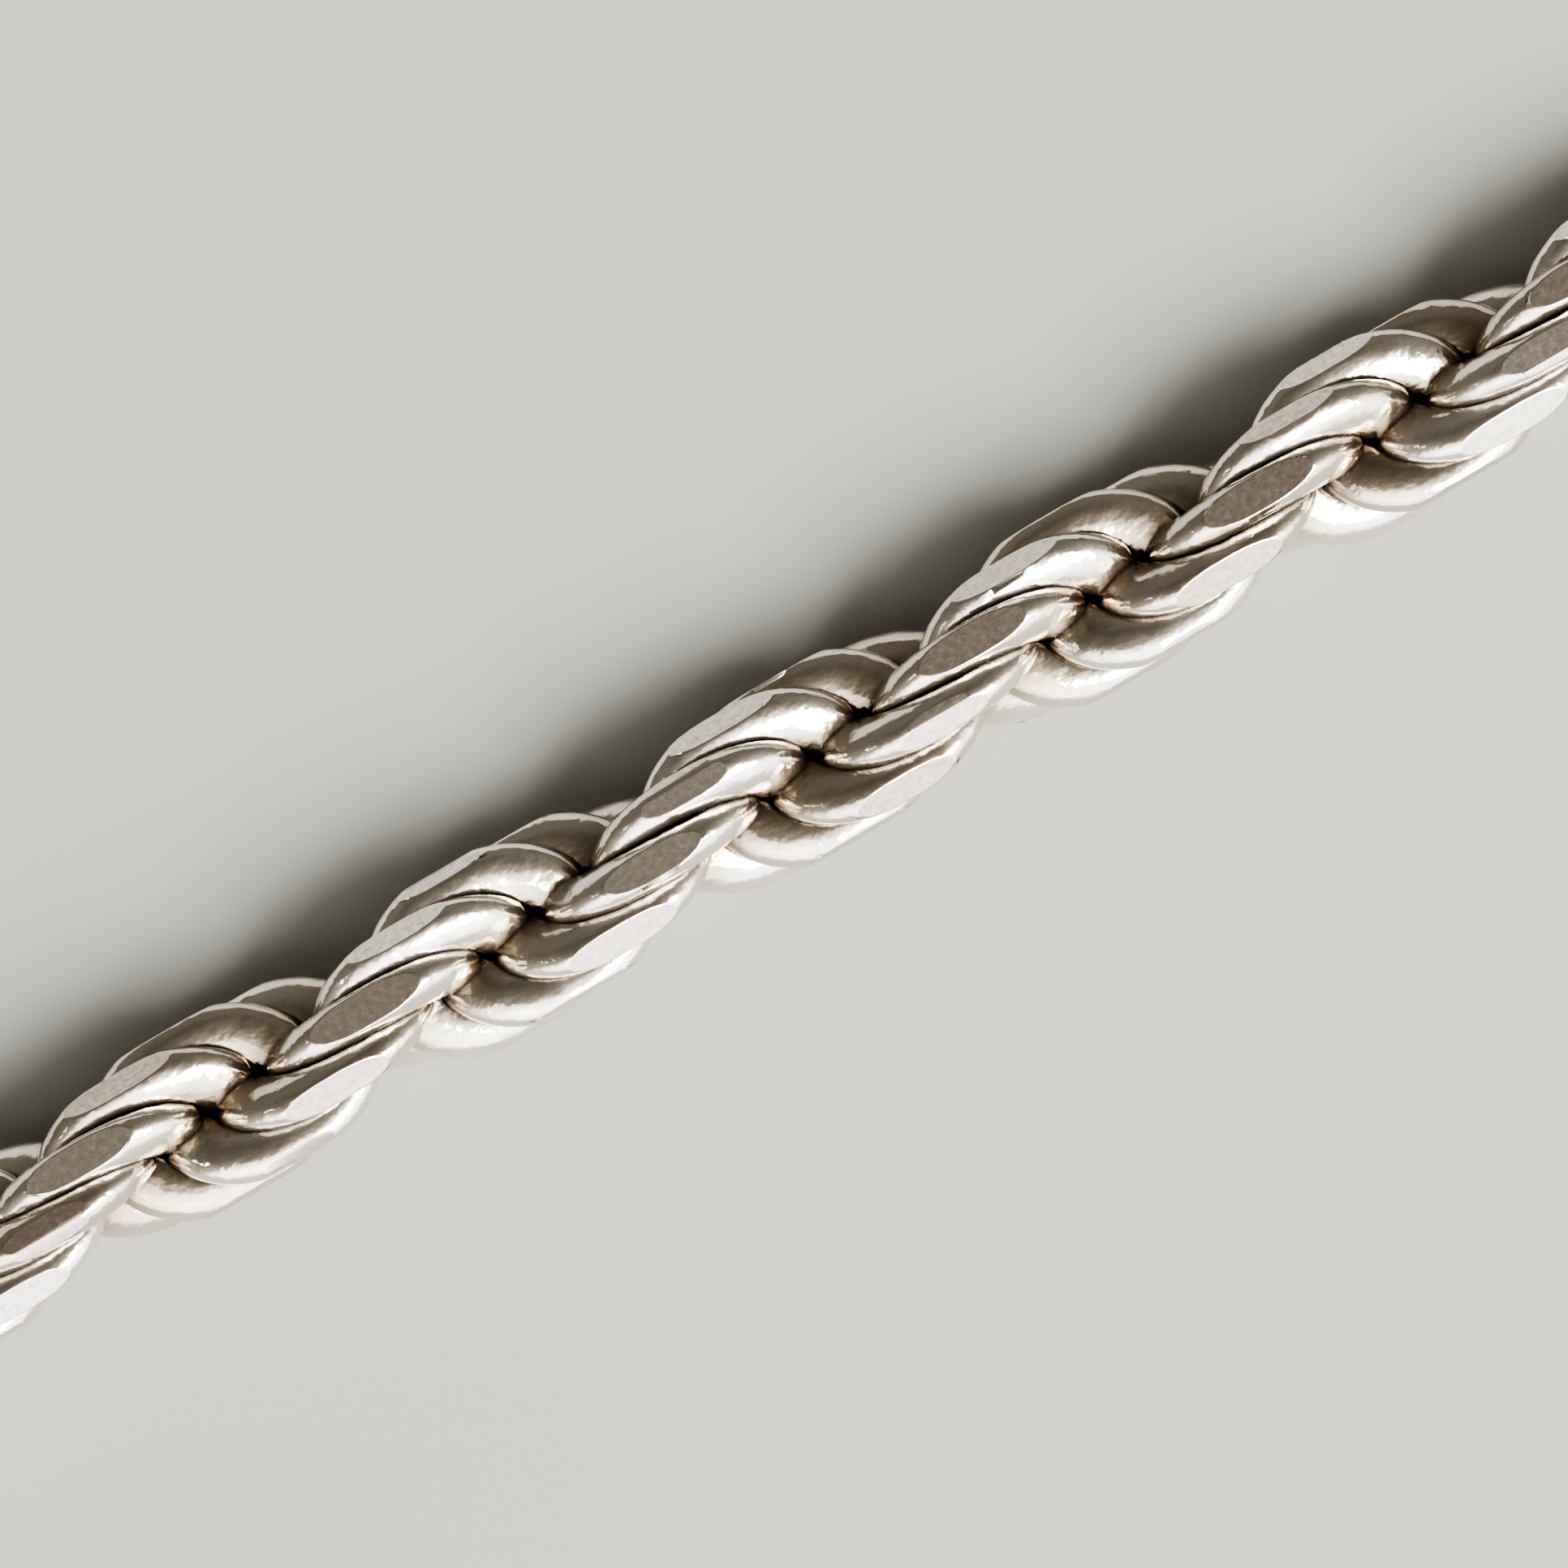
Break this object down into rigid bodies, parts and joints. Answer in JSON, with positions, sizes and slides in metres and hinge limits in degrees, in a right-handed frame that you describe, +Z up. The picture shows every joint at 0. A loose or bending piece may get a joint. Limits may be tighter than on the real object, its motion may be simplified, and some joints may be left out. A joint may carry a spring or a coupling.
{
  "type": "rope chain necklace",
  "caption": "Rope chain necklace of open round links with flat-cut sides, lying as a closed loop with end caps, jump rings and a fastened clasp.",
  "frame": {"origin": "centre of the box round the necklace, on the surface that it lies on", "axes": "+X along the straight front stretch to the right seen from above, +Y from the front stretch to the clasp, +Z up"},
  "size_m": [0.2029, 0.1072, 0.006],
  "materials": {
    "silver": "polished silver, cut flats bright with fine drag marks"
  },
  "bodies": {
    "root": {"chain_left": "silver", "chain_right": "silver", "end_cap_left": "silver", "end_cap_right": "silver", "jump_ring_left": "silver", "jump_ring_right": "silver", "clasp": "silver"}
  },
  "joints": []
}
